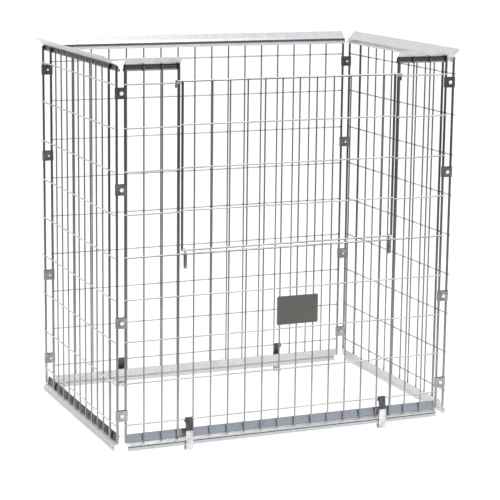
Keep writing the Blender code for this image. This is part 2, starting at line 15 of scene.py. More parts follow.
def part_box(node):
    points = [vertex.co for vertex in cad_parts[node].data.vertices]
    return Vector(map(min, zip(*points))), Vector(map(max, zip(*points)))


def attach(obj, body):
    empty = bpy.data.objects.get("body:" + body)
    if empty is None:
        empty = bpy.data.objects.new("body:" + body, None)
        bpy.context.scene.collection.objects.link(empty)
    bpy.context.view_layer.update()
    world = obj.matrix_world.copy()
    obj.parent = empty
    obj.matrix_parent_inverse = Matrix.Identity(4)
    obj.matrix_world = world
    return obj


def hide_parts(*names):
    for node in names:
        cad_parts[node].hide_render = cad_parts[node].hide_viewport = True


bl_info = {
    "name": "Wire mesh collar",
    "version": (1, 0, 0),
    "blender": (4, 5, 0),
    "location": "3D View > Sidebar > Collar",
    "description": "Builds the visible pieces of a wire mesh collar with a drop gate",
    "category": "Add Mesh",
}

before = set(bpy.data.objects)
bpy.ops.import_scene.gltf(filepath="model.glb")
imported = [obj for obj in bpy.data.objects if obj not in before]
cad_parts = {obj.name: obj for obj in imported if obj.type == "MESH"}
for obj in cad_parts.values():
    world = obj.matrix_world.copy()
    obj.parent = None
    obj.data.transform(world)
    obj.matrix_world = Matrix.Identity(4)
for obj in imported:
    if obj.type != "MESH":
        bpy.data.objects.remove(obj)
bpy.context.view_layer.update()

# Walls: planes of the posts' axes, and the turn that brings each wall round from the front
WALL_Y = 0.394
SIDE_X = 0.594
POST_X = 0.566
INNER_POST_X = 0.387
WALL_TURNS = {
    "front": (Vector((0, -WALL_Y, 0)), 0.0),
    "back": (Vector((0, WALL_Y, 0)), math.pi),
    "left": (Vector((-SIDE_X, 0, 0)), -math.pi / 2),
    "right": (Vector((SIDE_X, 0, 0)), math.pi / 2),
}

# Heights of the seat plane, the level wires and the uprights' ends
SEAT_Z = 0.036
LOW_Z = 0.104
LEVEL_PITCH = 0.137
LEVEL_COUNT = 9
HINGE_LEVEL = 4                 # levels below the hinge bar
LEVELS = [LOW_Z + LEVEL_PITCH * step for step in range(LEVEL_COUNT)]
LOWER_LEVELS = LEVELS[:HINGE_LEVEL]
HINGE_Z = LEVELS[HINGE_LEVEL]
UPPER_LEVELS = LEVELS[HINGE_LEVEL + 1:]
TOP_Z = LEVELS[-1]
FOOT_STEP = 0.0012              # of the thick uprights' feet above the thin ones'
FOOT_THIN_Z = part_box("back_mesh")[0].z
FOOT_THICK_Z = FOOT_THIN_Z + FOOT_STEP
POST_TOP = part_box("back_mesh")[1].z
OVERHANG = 0.0045               # of a level wire past the axis of its end post
STUB = 0.0035                   # of an upright past the axis of the last bar it is welded to

# Uprights between the posts: the first and last of each row, and how many stand in it
BACK_ENDS = (-0.497, 0.483)
BACK_COUNT = 16
SIDE_THICK = {"left": (-0.303, 0.320), "right": (-0.320, 0.303)}
SIDE_COUNT = 9                  # thin ones between the two thick ones
COLUMN_PITCH = 0.0615
COLUMN_WIRES = (POST_X - COLUMN_PITCH, POST_X - COLUMN_PITCH * 2)
GATE_ENDS = (-0.3344, 0.3344)
GATE_COUNT = 12

# Gate: its bars and wires against the levels beside them, and its two hooks
GATE_SHIFT = 0.0007             # outward, clear of the front panel's level wires
GATE_SIDE_X = 0.375
GATE_BAR_RISE = 0.013
GATE_TOP_RISE = 0.0058
GATE_WIRE_RISE = 0.005
GATE_BAR_Z = HINGE_Z + GATE_BAR_RISE
GATE_TOP_Z = TOP_Z + GATE_TOP_RISE
GATE_LEVELS = [z + GATE_WIRE_RISE for z in UPPER_LEVELS[:-1]]
GATE_WIRE_END = 0.379
COLUMN_WIRE_END = 0.381
HOOK_X = 0.397
HOOK_LENGTH = 0.0248            # from the top of the gate's uprights down to the hooks' ends
HOOK_LOW_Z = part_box("gate_mesh")[1].z - HOOK_LENGTH
HOOK_GAP = 0.0011               # between a hook and the columns' top wires

# Folds of the base rails: outward from the posts' axes, and up
WEB_OUT = -0.00505
LEAN_OUT = WEB_OUT - 0.003
NOSE_OUT = 0.013
LIP_OUT = 0.0105
UPSTAND_TOP = SEAT_Z + 0.033
UPSTAND_BEND = SEAT_Z + 0.017
UPSTAND_FOOT = SEAT_Z + 0.006
NOSE_TOP = SEAT_Z - 0.001
NOSE_LOW = SEAT_Z - 0.0045
STEP_SHADE = SEAT_Z - 0.0078
LIP_LOW = SEAT_Z - 0.018
BASE_PROFILE = (
    (LEAN_OUT, UPSTAND_TOP),
    (WEB_OUT, UPSTAND_BEND),
    (WEB_OUT, UPSTAND_FOOT),
    (NOSE_OUT, NOSE_TOP),
    (NOSE_OUT, NOSE_LOW),
    (LIP_OUT, NOSE_LOW),
    (LIP_OUT, STEP_SHADE),
    (LIP_OUT, LIP_LOW),
)

# Folds of the top rails: outward from the posts' axes, and up
GUTTER_OUT = WEB_OUT - 0.005
BEND_OUT = 0.0012
SHOULDER_OUT = 0.005
FLARE_OUT = 0.021
GUTTER_TOP = POST_TOP - 0.0075
GUTTER_LOW = POST_TOP - 0.01575
HEM_TOP = POST_TOP - 0.0113
SHADE_LOW = POST_TOP - 0.006
FOLD_Z = POST_TOP + 0.0005
SHADE_TOP = POST_TOP + 0.0027
FLARE_SHADE_TOP = POST_TOP + 0.0045
BEND_Z = POST_TOP + 0.0055
SHOULDER_Z = POST_TOP + 0.0085
FLARE_TOP = POST_TOP + 0.0265
TOP_PROFILE = (
    (GUTTER_OUT, GUTTER_TOP),
    (GUTTER_OUT, GUTTER_LOW),
    (WEB_OUT, GUTTER_LOW),
    (WEB_OUT, HEM_TOP),
    (WEB_OUT, SHADE_LOW),
    (WEB_OUT, FOLD_Z),
    (BEND_OUT, BEND_Z),
    (SHOULDER_OUT, SHOULDER_Z),
    (FLARE_OUT, FLARE_TOP),
)
FLARE_CUT = 0.052               # how far the left rail's flare is cut back at one end

# Strip and rod work
BAR_GAP = 0.0003                # between a bar or wire and the strip bent round it
POST_GAP = 0.0004               # between a post and the clip folded round it
ROD_SIDES = 12
SHARP_ANGLE = math.radians(40)  # edges that turn by more are drawn sharp
CUT_ANGLE = math.radians(60)    # edges of a cut sheet that turn by more are broken
SAME_POINT = 0.00001            # points closer than this are merged
ALONG_X = (1, 0, 0)
ALONG_Z = (0, 0, 1)

# Drawing lines of a wire: noise scale along X, Y and Z
UPRIGHT_LINES = (700.0, 700.0, 9.0)
LEVEL_LINES = (14.0, 14.0, 700.0)

# Painted light towards the bottom: the height at which it has faded out, and how steeply it fades
FOOT_FADE = 1.18
WIRE_FADE_POWER = 2.5
STRIP_FADE_POWER = 1.4

# Materials by the name of their colour, which the first operator fills
FINISHES = {}


class Socket:
    """A shader socket whose sums, products and powers add Math nodes."""

    def __init__(self, shade, link):
        self.shade = shade
        self.link = link

    def math(self, operation, *others):
        values = dict(enumerate((self, *others)))
        return self.shade.add("ShaderNodeMath", {"operation": operation}, values)

    def __add__(self, other):
        return self.math("ADD", other)

    def __radd__(self, other):
        return self.math("ADD", other)

    def __sub__(self, other):
        return self.math("SUBTRACT", other)

    def __rsub__(self, other):
        return self.shade.add("ShaderNodeMath", {"operation": "SUBTRACT"}, {0: other, 1: self})

    def __mul__(self, other):
        return self.math("MULTIPLY", other)

    def __rmul__(self, other):
        return self.math("MULTIPLY", other)

    def __truediv__(self, other):
        return self.math("DIVIDE", other)

    def __pow__(self, other):
        return self.math("POWER", other)

    def ramp(self, low, high):
        """Return 0 below low, 1 above high and a smooth step between them."""
        settings = {"interpolation_type": "SMOOTHSTEP"}
        values = {"Value": self, "From Min": low, "From Max": high}
        return self.shade.add("ShaderNodeMapRange", settings, values)


class Shade:
    """The nodes of a material or a world, written as expressions."""

    def __init__(self, holder):
        self.holder = holder
        holder.use_nodes = True
        self.tree = holder.node_tree
        self.tree.nodes.clear()

    @property
    def place(self):
        return self.add("ShaderNodeTexCoord", out="Object")

    def seen(self):
        """Return 1 where the eye, a mirror or glass looks, and 0 where light is gathered."""
        rays = [
            self.add("ShaderNodeLightPath", out=f"Is {kind} Ray")
            for kind in ("Camera", "Glossy", "Transmission")
        ]
        return rays[0].math("MAXIMUM", rays[1]).math("MAXIMUM", rays[2])

    def add(self, kind, settings=None, values=None, out=0):
        """Add a node: its settings first, then its sockets' values or links.

        Return one of its outputs, or nothing where it has none.
        """
        node = self.tree.nodes.new(kind)
        for name, value in (settings or {}).items():
            setattr(node, name, value)
        for name, value in (values or {}).items():
            if isinstance(value, Socket):
                self.tree.links.new(value.link, node.inputs[name])
            else:
                node.inputs[name].default_value = value
        return Socket(self, node.outputs[out]) if len(node.outputs) else None

    def noise(self, scale, detail=2.0, roughness=0.5, vector=None, out=0):
        values = {
            "Vector": vector or self.place, "Scale": scale,
            "Detail": detail, "Roughness": roughness,
        }
        return self.add("ShaderNodeTexNoise", None, values, out)

    def streaks(self, scale, detail=2.0):
        """Return noise that is drawn out: its scale is given for each axis."""
        place = self.add("ShaderNodeMapping", None, {"Vector": self.place, "Scale": scale})
        return self.noise(1.0, detail, vector=place)

    def cells(self, scale, out, vector=None):
        values = {"Vector": vector or self.place, "Scale": scale}
        return self.add("ShaderNodeTexVoronoi", None, values, out)

    def mix(self, factor, first, second):
        values = {0: factor, 6: self.colour(first), 7: self.colour(second)}
        return self.add("ShaderNodeMix", {"data_type": "RGBA"}, values, 2)

    @staticmethod
    def colour(value):
        return value if isinstance(value, Socket) else (*value, 1.0)

    def part(self, axis, vector=None):
        return self.add("ShaderNodeSeparateXYZ", None, {0: vector or self.place}, axis)

    def painted_foot_light(self, power):
        """Return 1 at the bottom, where light is painted on, falling to 0 near the top."""
        return ((FOOT_FADE - self.part("Z")) / FOOT_FADE).math("MAXIMUM", 0.0) ** power

    def bump(self, height, distance, strength=0.5):
        values = {"Height": height, "Distance": distance, "Strength": strength}
        return self.add("ShaderNodeBump", None, values)

    def finish(self, colour, metallic, roughness, normal=None, glow=None):
        values = {"Base Color": colour, "Metallic": metallic, "Roughness": roughness}
        if normal:
            values["Normal"] = normal
        if glow:
            values["Emission Color"] = glow
            values["Emission Strength"] = 1.0
        surface = self.add("ShaderNodeBsdfPrincipled", None, values)
        self.add("ShaderNodeOutputMaterial", None, {"Surface": surface})
        return self.holder


def shades(colour, factor):
    return tuple(channel * factor for channel in colour)


def wire_finish(name, colour, streak, painted_foot_light=None):
    """Drawn and galvanised wire: grey drift, drawing lines along it, dull blooms and fine grain."""
    shade = Shade(bpy.data.materials.new(name))
    drift = shade.noise(9.0, detail=3.0)
    lines = shade.streaks(streak)
    bloom = shade.noise(34.0, detail=4.0, roughness=0.65).ramp(0.50, 0.72)
    grain = shade.noise(1400.0)
    tone = drift.ramp(0.3, 0.7) * 0.55 + lines.ramp(0.3, 0.7) * 0.45

    def galvanised(zinc):
        base = shade.mix(tone, shades(zinc, 0.72), shades(zinc, 1.18))
        return shade.mix(bloom * 0.45, base, shades((0.80, 0.82, 0.83), max(zinc) * 1.1))

    dull = galvanised(colour)
    # Painted light: the wire is drawn lighter towards the bottom
    if painted_foot_light:
        dull = shade.mix(shade.painted_foot_light(WIRE_FADE_POWER), dull, galvanised(painted_foot_light))
    roughness = 0.30 + bloom * 0.22 + lines * 0.10
    normal = shade.bump(grain * 0.4 + lines * 0.6, distance=0.00012)
    return shade.finish(dull, 0.9 - bloom * 0.25, roughness, normal)


def weld_finish(name, colour):
    """Pressed weld: darker heat-tinted zinc with a rough skin."""
    shade = Shade(bpy.data.materials.new(name))
    skin = shade.noise(900.0, detail=3.0, roughness=0.7)
    tint = shade.noise(120.0).ramp(0.35, 0.65)
    base = shade.mix(tint, shades(colour, 0.65), colour)
    return shade.finish(base, 0.8, 0.42 + skin * 0.25, shade.bump(skin, distance=0.0004))


def sheet_finish(name, colour):
    """Hot-dip galvanised sheet: zinc spangle, rolled streaks and dull handling marks."""
    shade = Shade(bpy.data.materials.new(name))
    wander = shade.noise(60.0)
    wobble = {0: 0.015, 4: shade.place, 5: shade.noise(90.0, out="Color")}
    moved = shade.add("ShaderNodeMix", {"data_type": "VECTOR"}, wobble, 1)
    spangle = shade.part("X", shade.cells(95.0, "Color", moved))
    fine = shade.part("Y", shade.cells(260.0, "Color", moved))
    streak = shade.streaks((5.0, 5.0, 900.0), detail=3.0)
    marks = shade.noise(22.0, detail=5.0, roughness=0.7).ramp(0.52, 0.74)
    tone = spangle * 0.5 + fine * 0.2 + streak * 0.3
    base = shade.mix(tone, shades(colour, 0.88), shades(colour, 1.10))
    worn = shade.mix(marks * 0.22, base, shades(colour, 0.72))
    roughness = 0.24 + spangle * 0.12 + marks * 0.22 + wander * 0.06
    normal = shade.bump(spangle * 0.5 + streak * 0.5, distance=0.00015)
    return shade.finish(worn, 0.88, roughness, normal)


def strip_finish(name, colour, painted_foot_light=None):
    """Zinc plated strip: satin grey, darkened in patches, with scuffs from handling."""
    shade = Shade(bpy.data.materials.new(name))
    cloud = shade.noise(45.0, detail=4.0, roughness=0.6)
    scuff = shade.streaks((60.0, 60.0, 1400.0), detail=3.0).ramp(0.55, 0.70)
    pits = shade.cells(700.0, "Distance").ramp(0.0, 0.35)

    def plated(zinc):
        base = shade.mix(cloud.ramp(0.32, 0.68), shades(zinc, 0.60), shades(zinc, 1.12))
        return shade.mix(scuff * 0.5, base, shades(zinc, 1.7))

    rubbed = plated(colour)
    # Painted light: the strip is drawn lighter towards the bottom, over its scuffs
    if painted_foot_light:
        rubbed = shade.mix(shade.painted_foot_light(STRIP_FADE_POWER), rubbed, plated(painted_foot_light))
    roughness = 0.34 + cloud * 0.2 - scuff * 0.1
    normal = shade.bump(pits * 0.6 + cloud * 0.4, distance=0.00018)
    return shade.finish(rubbed, 0.86, roughness, normal)


def bolt_finish(name, colour):
    """Bright plated bolt with turning marks and a slightly yellow passivation."""
    shade = Shade(bpy.data.materials.new(name))
    tint = shade.noise(160.0, detail=3.0).ramp(0.4, 0.7)
    turned = shade.noise(2600.0, detail=1.0)
    base = shade.mix(tint * 0.5, colour, shades((1.0, 0.93, 0.74), max(colour)))
    return shade.finish(base, 0.95, 0.18 + turned * 0.16, shade.bump(turned, distance=0.0001))


def plate_finish(name, colour, centre, half_width, half_height):
    """Bare dark plate: brushed across, rubbed lighter along its edges, faintly stained."""
    shade = Shade(bpy.data.materials.new(name))
    brushed = shade.streaks((14.0, 14.0, 1500.0), detail=3.0)
    stain = shade.noise(28.0, detail=4.0, roughness=0.6)
    across = (shade.part("X") - centre.x).math("ABSOLUTE") / half_width
    along = (shade.part("Z") - centre.z).math("ABSOLUTE") / half_height
    edge = across.math("MAXIMUM", along) + (stain - 0.5) * 0.06
    rub = edge.ramp(0.93, 1.0)
    base = shade.mix(brushed * 0.55 + stain * 0.45, shades(colour, 0.72), shades(colour, 1.28))
    rubbed = shade.mix(rub * 0.55, base, shades(colour, 2.6))
    roughness = 0.36 + stain * 0.18 + rub * 0.1
    normal = shade.bump(brushed, distance=0.00012)
    return shade.finish(rubbed, 0.35 + rub * 0.4, roughness, normal)


def floor_finish(name, colour):
    """Plain pale floor that looks white all over and still takes a shadow."""
    shade = Shade(bpy.data.materials.new(name))
    cloud = shade.noise(2.0, detail=3.0)
    base = shade.mix(cloud, shades(colour, 0.985), colour)
    glow = shade.mix(shade.seen(), (0.0, 0.0, 0.0), (0.46, 0.46, 0.46))
    return shade.finish(base, 0.0, 0.75 + cloud * 0.05, glow=glow)


def length_property(name, description, default, low, high):
    return FloatProperty(
        name=name, description=description, default=default, min=low, max=high, unit="LENGTH",
    )


class CollarSizes(bpy.types.PropertyGroup):
    """Sizes of wire, sheet and fastenings."""

    wire: length_property("Wire diameter", "Thin uprights and level wires", 0.005, 0.002, 0.008)
    post: length_property(
        "Post diameter", "Thick uprights at the ends and beside the gate", 0.008, 0.004, 0.012,
    )
    bar: length_property(
        "Bar diameter", "Hinge bar and the gate's two end bars", 0.006, 0.003, 0.010,
    )
    sink: length_property(
        "Weld depth", "How far crossing wires sink into each other", 0.0004, 0.0, 0.001,
    )
    weld: length_property(
        "Weld radius", "Radius of the pressed metal round a crossing", 0.0027, 0.001, 0.005,
    )
    sheet: length_property(
        "Sheet thickness", "Wall of the base rails and the top rails", 0.0015, 0.0008, 0.003,
    )
    fold: length_property("Fold radius", "How far a rail's fold is rounded", 0.0013, 0.0003, 0.003)
    strip: length_property("Strip thickness", "Clips and hinge loops", 0.002, 0.001, 0.003)
    clamp_strip: length_property(
        "Clamp thickness", "Strip of the hold-down clamps", 0.0025, 0.001, 0.004,
    )
    clip_height: length_property("Clip height", "Height of a corner clip", 0.035, 0.02, 0.05)
    bolt: length_property(
        "Bolt blank", "Round stock that the bolts' heads and nuts are cut from", 0.0092, 0.005, 0.012,
    )
    washer: length_property(
        "Washer", "Diameter of the washers under the bolts' heads", 0.0128, 0.006, 0.016,
    )


def colour_property(name, description, default):
    return FloatVectorProperty(
        name=name, description=description, subtype="COLOR", default=default, min=0.0, max=1.0,
    )


class CollarColours(bpy.types.PropertyGroup):
    """Base colours of the finishes."""

    # Uprights and posts: near-black colours are painted shade and reflection of a dark surround; the zinc
    # itself is paler
    upright: colour_property("Uprights", "Thin wire of the uprights", (0.140, 0.143, 0.150))
    # Painted light: the uprights and posts are drawn lighter low down
    upright_painted_foot_light: colour_property("Uprights' feet", "Thin wire low down", (0.42, 0.43, 0.45))
    post: colour_property("Posts", "Thick wire of posts and hooks", (0.062, 0.064, 0.070))
    post_painted_foot_light: colour_property("Posts' feet", "Thick wire low down", (0.45, 0.455, 0.47))
    # Level wires: painted light on their upper side, painted shade on their undersides
    level: colour_property("Level wires", "Painted light on the upper side of the levels", (0.78, 0.79, 0.80))
    under: colour_property("Undersides", "Painted shade on the lower side of the levels", (0.27, 0.265, 0.285))
    weld: colour_property("Welds", "Heat-tinted zinc at the crossings", (0.30, 0.305, 0.31))
    sheet: colour_property("Sheet", "Galvanised sheet of the rails", (0.68, 0.69, 0.695))
    # painted shade under the top rails' flare, under the base rails' nose and on the side walls' upstands
    shelter: colour_property("Sheltered sheet", "Painted shade under the flare, under the nose and on the side upstands", (0.060, 0.064, 0.066))
    # painted shade inside the back top rail
    fold: colour_property("Fold", "Painted shade inside the back top rail", (0.10, 0.115, 0.145))
    # painted shade on the top rails' outward hem
    hem: colour_property("Hem", "Painted shade on the outward lower edge of the top rails", (0.28, 0.29, 0.29))
    # painted shade on the outward side of the front and back upstands
    upstand: colour_property("Upstand", "Painted shade on the outward upstands behind the uprights", (0.31, 0.34, 0.385))
    strip: colour_property("Strip", "Dark plated strip of clips and loops", (0.075, 0.075, 0.072))
    # Painted light: the strip is drawn lighter low down
    strip_painted_foot_light: colour_property("Strip low down", "Painted light on the strip low down", (0.52, 0.52, 0.515))
    clamp: colour_property("Clamps", "Dark plated upper half of the clamps", (0.115, 0.112, 0.115))
    # painted light: a lit copy of the strip on the clamps' lower part and the loops' eyes
    bright: colour_property("Bright strip", "Worn bright strip of clamps and loops", (0.76, 0.76, 0.75))
    # painted shade: the outer lip is drawn darker and bluer than the sheet
    lip: colour_property("Lip", "Painted shade on the base rails' outer lip", (0.56, 0.57, 0.60))
    bolt: colour_property("Bolts", "Bright plated bolts", (0.86, 0.86, 0.84))
    plate: colour_property("Plate", "Dark bare plate", (0.122, 0.124, 0.113))
    floor: colour_property("Floor", "Floor and backdrop", (0.92, 0.92, 0.92))


def new_object(bm, name, keys):
    """Turn a finished bmesh into an object. The keys name the finishes of its slots."""
    mesh = bpy.data.meshes.new(name)
    bm.to_mesh(mesh)
    bm.free()
    for key in keys:
        mesh.materials.append(FINISHES[key])
    item = bpy.data.objects.new(name, mesh)
    bpy.context.scene.collection.objects.link(item)
    return item


def finish_piece(bm, name, body, nodes, slot, *keys):
    """Turn a finished bmesh into a piece that rides on a body and stands for its nodes."""
    piece = new_object(bm, name, keys)
    piece.data.shade_smooth()
    piece.data.set_sharp_from_angle(angle=SHARP_ANGLE)
    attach(piece, body)
    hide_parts(*nodes)


def wall_matrix(wall):
    place, turn = WALL_TURNS[wall]
    return Matrix.Translation(place) @ Matrix.Rotation(turn, 4, "Z")


def spread(first, last, count):
    step = (last - first) / (count - 1)
    return [first + step * number for number in range(count)]


def turn_from_z(direction):
    return Vector(ALONG_Z).rotation_difference(direction).to_matrix().to_4x4()


def only(items, kind):
    """Return the vertices or the edges among what an operator made."""
    return [item for item in items if isinstance(item, kind)]


def end_rims(edges):
    """Return the edges round flat ends, whose faces have more than four corners."""
    return [edge for edge in edges if any(len(face.verts) > 4 for face in edge.link_faces)]


def turns_over(bm, angle):
    """Return the edges where two faces meet at more than the given angle."""
    return [
        edge for edge in bm.edges
        if len(edge.link_faces) == 2 and edge.calc_face_angle() > angle
    ]


def set_slot(verts, slot):
    for vert in verts:
        for face in vert.link_faces:
            face.material_index = slot


def bevel(bm, edges, offset, steps, clamp=False):
    bmesh.ops.bevel(
        bm, geom=edges, offset=offset, offset_type="OFFSET", segments=steps, profile=0.5,
        affect="EDGES", clamp_overlap=clamp, material=-1,
    )


def cylinder(bm, matrix, length, radius, sides, rim, slot=0):
    """Add a closed cylinder about the matrix's Z axis, with the rims of its ends rounded."""
    made = bmesh.ops.create_cone(
        bm, cap_ends=True, segments=sides, radius1=radius, radius2=radius, depth=length,
        matrix=matrix,
    )["verts"]
    set_slot(made, slot)
    bevel(bm, end_rims({edge for vert in made for edge in vert.link_edges}), rim, steps=2)


class Mesh:
    """A welded mesh in the making: rods, bent bars and the pressed metal at their crossings."""

    UPRIGHT, POST, LEVEL, UNDER, WELD, BAR = range(6)
    KEYS = ("upright", "post", "level", "under", "weld", "level")
    RIM = 0.3                   # rounding of a rod's ends, as a share of its radius
    WELD_DEPTH = 0.42           # of a weld along Y, as a share of its radius
    WELD_BASE = 0.75            # share of a weld's width that doesn't grow with the upright
    UNDER_TILT = -0.25          # a level wire gets painted shade where its normal's Z is below this
    BAR_TILT = 0.15             # and a bar gets the dark post colour as painted shade below this
    BEND_STEPS = 5

    def __init__(self, sizes):
        self.sizes = sizes
        self.bm = bmesh.new()
        self.uprights = []
        self.levels = []

    def rod(self, start, end, radius, slot):
        run = Vector(end) - Vector(start)
        middle = Matrix.Translation((Vector(start) + Vector(end)) / 2)
        matrix = middle @ turn_from_z(run)
        cylinder(self.bm, matrix, run.length, radius, ROD_SIDES, radius * self.RIM, slot)

    def upright(self, x, low, high, thick=False):
        sizes = self.sizes
        radius = sizes.post / 2 if thick else sizes.wire / 2
        y = 0.0 if thick else -(sizes.post - sizes.wire) / 2
        self.rod((x, y, low), (x, y, high), radius, self.POST if thick else self.UPRIGHT)
        self.uprights.append((x, low, high, radius))

    def standing(self, x, high, thick=False):
        self.upright(x, FOOT_THICK_Z if thick else FOOT_THIN_Z, high, thick)

    def level(self, left, right, z, diameter=None):
        """Lay a level wire, or a bar of the given diameter, on the uprights. Return its Y."""
        radius = (diameter or self.sizes.wire) / 2
        y = -(self.sizes.post / 2 + radius - self.sizes.sink)
        self.rod((left, y, z), (right, y, z), radius, self.BAR if diameter else self.LEVEL)
        self.levels.append((left, right, z, radius))
        return y

    def weld_crossings(self):
        """Press a little metal out round every place where a level wire crosses an upright."""
        y = -(self.sizes.post - self.sizes.sink) / 2
        weld = self.sizes.weld
        for left, right, z, level_radius in self.levels:
            for x, low, high, radius in self.uprights:
                if left - radius < x < right + radius and low < z < high:
                    growth = (1 - self.WELD_BASE) * radius / level_radius
                    wide = weld * (self.WELD_BASE + growth)
                    shape = Matrix.Diagonal((wide, weld * self.WELD_DEPTH, weld, 1))
                    made = bmesh.ops.create_uvsphere(
                        self.bm, u_segments=8, v_segments=5, radius=1.0,
                        matrix=Matrix.Translation((x, y, z)) @ shape,
                    )["verts"]
                    set_slot(made, self.WELD)

    def bent_bar(self, corners, radius, bend):
        """Sweep a ring through corners, with a turn of the given radius at each of them."""
        bm = self.bm
        points = [Vector(corner) for corner in corners]
        heading = (points[1] - points[0]).normalized()
        start = Matrix.Translation(points[0]) @ turn_from_z(heading)
        verts = bmesh.ops.create_circle(
            bm, segments=ROD_SIDES, radius=radius, matrix=start,
        )["verts"]
        made = list(verts)
        ring = list({edge for vert in verts for edge in vert.link_edges})
        bmesh.ops.contextual_create(bm, geom=ring)
        place = points[0]
        for number, corner in enumerate(points[1:], 1):
            last = number == len(points) - 1
            trim = 0.0 if last else bend
            target = corner - heading * trim
            grown = bmesh.ops.extrude_edge_only(bm, edges=ring)["geom"]
            verts = only(grown, bmesh.types.BMVert)
            ring = only(grown, bmesh.types.BMEdge)
            bmesh.ops.translate(bm, verts=verts, vec=target - place)
            made += verts
            if last:
                break
            following = (points[number + 1] - corner).normalized()
            spun = bmesh.ops.spin(
                bm, geom=ring + verts, cent=target + following * bend,
                axis=heading.cross(following), angle=math.pi / 2, steps=self.BEND_STEPS,
                use_duplicate=False,
            )["geom_last"]
            verts = only(spun, bmesh.types.BMVert)
            ring = only(spun, bmesh.types.BMEdge)
            made += verts
            heading = following
            place = corner + following * bend
        bmesh.ops.contextual_create(bm, geom=ring)
        return made

    def piece(self, name, wall, body, node, shift=0.0):
        """Weld, turn the wall into place and hand it over as a piece."""
        self.bm.normal_update()
        # Painted shade: the undersides of level wires and bars get darker colours than their tops
        for face in self.bm.faces:
            if face.material_index == self.LEVEL and face.normal.z < self.UNDER_TILT:
                face.material_index = self.UNDER
            elif face.material_index == self.BAR and face.normal.z < self.BAR_TILT:
                face.material_index = self.POST
        self.weld_crossings()
        self.bm.transform(wall_matrix(wall) @ Matrix.Translation((0, -shift, 0)))
        bmesh.ops.recalc_face_normals(self.bm, faces=self.bm.faces)
        finish_piece(self.bm, name, body, [node], "galvanised_wire", *self.KEYS)


def round_folds(bm, fold, steps, above):
    """Round every fold of an open sheet that turns by more than the given angle."""
    bm.normal_update()
    bevel(bm, turns_over(bm, above), fold, steps, clamp=True)
    bmesh.ops.remove_doubles(bm, verts=bm.verts, dist=SAME_POINT)


def thicken(bm, thickness, edge):
    """Give an open sheet its wall and break the sharp edges of the cut."""
    bmesh.ops.recalc_face_normals(bm, faces=bm.faces)
    bm.normal_update()
    for vert in bm.verts:
        vert.co += vert.normal * (thickness / 2 * vert.calc_shell_factor())
    bm.normal_update()
    bmesh.ops.solidify(bm, geom=bm.faces, thickness=thickness)
    bmesh.ops.recalc_face_normals(bm, faces=bm.faces)
    bm.normal_update()
    bevel(bm, turns_over(bm, CUT_ANGLE), edge, steps=1, clamp=True)


class Path:
    """A line that a strip is swept from, drawn in the YZ or XY plane with bmesh operators."""

    def __init__(self, start, axis):
        self.bm = bmesh.new()
        self.axis = Vector(axis)
        self.tip = self.bm.verts.new(start)

    def lines(self, *ends):
        for end in ends:
            self.tip = bmesh.ops.extrude_vert_indiv(self.bm, verts=[self.tip])["verts"][0]
            self.tip.co = Vector(end)

    def arc(self, centre, degrees, steps):
        spun = bmesh.ops.spin(
            self.bm, geom=[self.tip], cent=Vector(centre), axis=self.axis,
            angle=math.radians(degrees), steps=steps, use_duplicate=False,
        )["geom_last"]
        self.tip = only(spun, bmesh.types.BMVert)[0]

    def sweep(self, width):
        """Sweep the line along the axis, to both sides of where it was drawn."""
        bm = self.bm
        bmesh.ops.remove_doubles(bm, verts=bm.verts, dist=SAME_POINT / 5)
        bmesh.ops.translate(bm, verts=bm.verts, vec=-self.axis * (width / 2))
        grown = bmesh.ops.extrude_edge_only(bm, edges=bm.edges[:])["geom"]
        far = only(grown, bmesh.types.BMVert)
        bmesh.ops.translate(bm, verts=far, vec=self.axis * width)
        bmesh.ops.recalc_face_normals(bm, faces=bm.faces)
        return bm


class COLLAR_OT_finishes(bpy.types.Operator):
    """Make the materials that the pieces share"""

    bl_idname = "collar.finishes"
    bl_label = "Finishes"

    SHEETS = (
        # Apart from the plain sheet, these are painted shade on the one galvanised sheet
        ("sheet", "galvanised sheet"),
        ("shelter", "sheltered sheet"),
        ("fold", "dull fold"),
        ("hem", "dull hem"),
        ("upstand", "dull upstand"),
        ("lip", "base rail lip"),
    )

    def execute(self, context):
        colours = context.scene.collar_colours
        FINISHES["upright"] = wire_finish(
            "upright wire", colours.upright, UPRIGHT_LINES, colours.upright_painted_foot_light,
        )
        FINISHES["post"] = wire_finish(
            "post wire", colours.post, UPRIGHT_LINES, colours.post_painted_foot_light,
        )
        FINISHES["level"] = wire_finish("level wire", colours.level, LEVEL_LINES)
        FINISHES["under"] = wire_finish("wire underside", colours.under, LEVEL_LINES)
        FINISHES["weld"] = weld_finish("pressed weld", colours.weld)
        for key, name in self.SHEETS:
            FINISHES[key] = sheet_finish(name, getattr(colours, key))
        FINISHES["strip"] = strip_finish("plated strip", colours.strip, colours.strip_painted_foot_light)
        FINISHES["clamp"] = strip_finish("clamp strip", colours.clamp)
        FINISHES["bright"] = strip_finish("bright strip", colours.bright)
        FINISHES["bolt"] = bolt_finish("plated bolt", colours.bolt)
        low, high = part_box("sign_plate")
        middle = (low + high) / 2
        half = (high - low) / 2
        FINISHES["plate"] = plate_finish("bare plate", colours.plate, middle, half.x, half.z)
        FINISHES["floor"] = floor_finish("pale floor", colours.floor)
        return {"FINISHED"}


